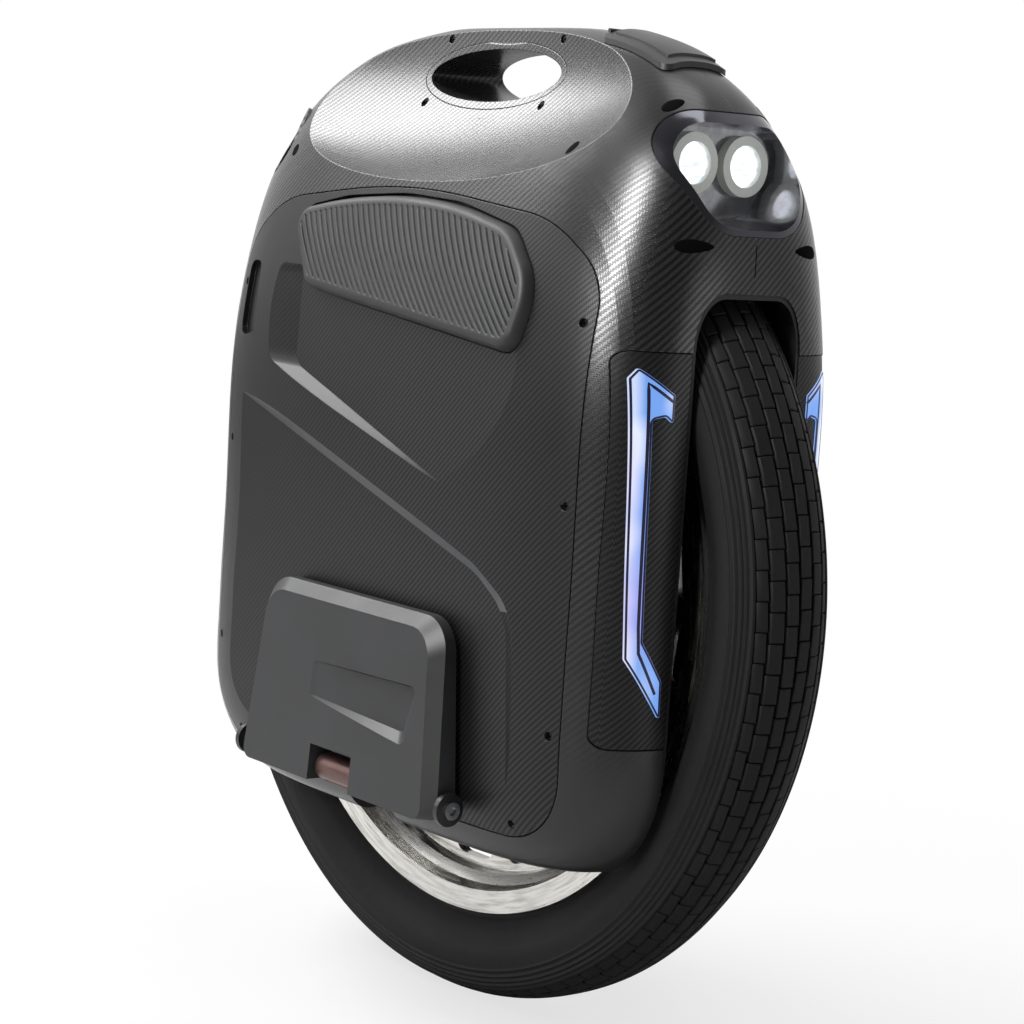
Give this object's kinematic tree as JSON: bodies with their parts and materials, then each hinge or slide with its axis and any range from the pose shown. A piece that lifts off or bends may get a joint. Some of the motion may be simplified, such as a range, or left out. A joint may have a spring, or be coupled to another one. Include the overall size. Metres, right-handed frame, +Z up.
{
  "type": "electric unicycle",
  "caption": "Large-wheel electric unicycle with a carbon-look body, carry-handle opening, knee pads, folding pedals, head lamp, strip lights and a street tyre.",
  "frame": {"origin": "ground contact point under the wheel axle", "axes": "+X forward towards the head lamp, +Y to the rider's left, +Z up; the wheel axle lies along Y"},
  "size_m": [0.5999, 0.273, 0.6744],
  "materials": {
    "carbon_shell": "satin twill film",
    "carbon_panel": "satin twill film",
    "pad_rubber": "matte, grooved",
    "black_plastic": "satin",
    "black_screw": "black oxide",
    "arch_plastic": "matte",
    "lamp_chrome": "mirror bowl",
    "frosted_ring": "frosted",
    "lamp_lens": "lit",
    "carbon_trim": "satin twill film",
    "blue_light": "lit",
    "red_light": "clear",
    "flap_rubber": "matte",
    "socket_metal": "turned",
    "button_plastic": "polished",
    "grille_plastic": "satin",
    "tyre_rubber": "matte",
    "polished_rim": "polished",
    "brass_valve": "plain",
    "cast_cover": "satin black",
    "bright_screw": "zinc plated",
    "bearing_steel": "ground",
    "magnet_steel": "nickel plated",
    "axle_steel": "turned",
    "stator_iron": "lacquered laminations",
    "hanger_metal": "anodised reddish brown",
    "pedal_alloy": "powder coat",
    "grip_tape": "grit",
    "battery_wrap": "shrink wrap",
    "sink_aluminium": "extruded",
    "board_green": "coated"
  },
  "bodies": {
    "chassis": {"axle": "axle_steel", "axle_nuts": "bright_screw", "button_bezel": "socket_metal", "charge_socket": "socket_metal", "control_board": "board_green", "cooling_fan": "black_plastic", "handle_screws": "black_screw", "headlamp_bowl": "lamp_chrome", "headlamp_lenses": "lamp_lens", "headlamp_rings": "frosted_ring", "heat_sink": "sink_aluminium", "left_front_battery": "battery_wrap", "left_front_light_lens": "blue_light", "left_front_light_panel": "carbon_trim", "left_handle_bezel": "black_plastic", "left_knee_pad": "pad_rubber", "left_pedal_hanger": "hanger_metal", "left_rear_battery": "battery_wrap", "left_rear_light_lens": "red_light", "left_rear_light_panel": "carbon_trim", "left_shell": "carbon_shell", "left_side_panel": "carbon_panel", "left_speaker_grille": "grille_plastic", "panel_screws": "black_screw", "port_tray": "black_plastic", "right_front_battery": "battery_wrap", "right_front_light_lens": "blue_light", "right_front_light_panel": "carbon_trim", "right_handle_bezel": "black_plastic", "right_knee_pad": "pad_rubber", "right_pedal_hanger": "hanger_metal", "right_rear_battery": "battery_wrap", "right_rear_light_lens": "red_light", "right_rear_light_panel": "carbon_trim", "right_shell": "carbon_shell", "right_side_panel": "carbon_panel", "right_speaker_grille": "grille_plastic", "stator": "stator_iron", "wheel_arch": "arch_plastic"},
    "wheel": {"cover_screws": "bright_screw", "left_motor_cover": "cast_cover", "magnet_ring": "magnet_steel", "right_motor_cover": "cast_cover", "rim": "polished_rim", "tyre": "tyre_rubber", "valve": "brass_valve", "wheel_bearings": "bearing_steel"},
    "right_pedal_arm": {"right_pedal": "pedal_alloy", "right_pedal_caps": "black_plastic", "right_pedal_grip": "grip_tape", "right_pedal_pin": "bright_screw"},
    "left_pedal_arm": {"left_pedal": "pedal_alloy", "left_pedal_caps": "black_plastic", "left_pedal_grip": "grip_tape", "left_pedal_pin": "bright_screw"},
    "flap": {"port_flap": "flap_rubber"},
    "button": {"power_button": "button_plastic"}
  },
  "joints": [
    {"name": "wheel_spin", "type": "hinge", "parent": "chassis", "child": "wheel", "pos_m": [0, 0, 0.3], "axis": [0, 1, 0], "continuous": true},
    {"name": "right_pedal_fold", "type": "hinge", "parent": "chassis", "child": "right_pedal_arm", "pos_m": [0, -0.1225, 0.164], "axis": [1, 0, 0], "range_deg": [0, 90]},
    {"name": "left_pedal_fold", "type": "hinge", "parent": "chassis", "child": "left_pedal_arm", "pos_m": [0, 0.1225, 0.164], "axis": [-1, 0, 0], "range_deg": [0, 90]},
    {"name": "flap_hinge", "type": "hinge", "parent": "chassis", "child": "flap", "pos_m": [0.103, 0, 0.672], "axis": [0, -1, 0], "range_deg": [0, 105]},
    {"name": "button_press", "type": "slide", "parent": "chassis", "child": "button", "axis": [0, 0, -1], "range_m": [0, 0.002], "stiffness_N_per_m": 600}
  ]
}
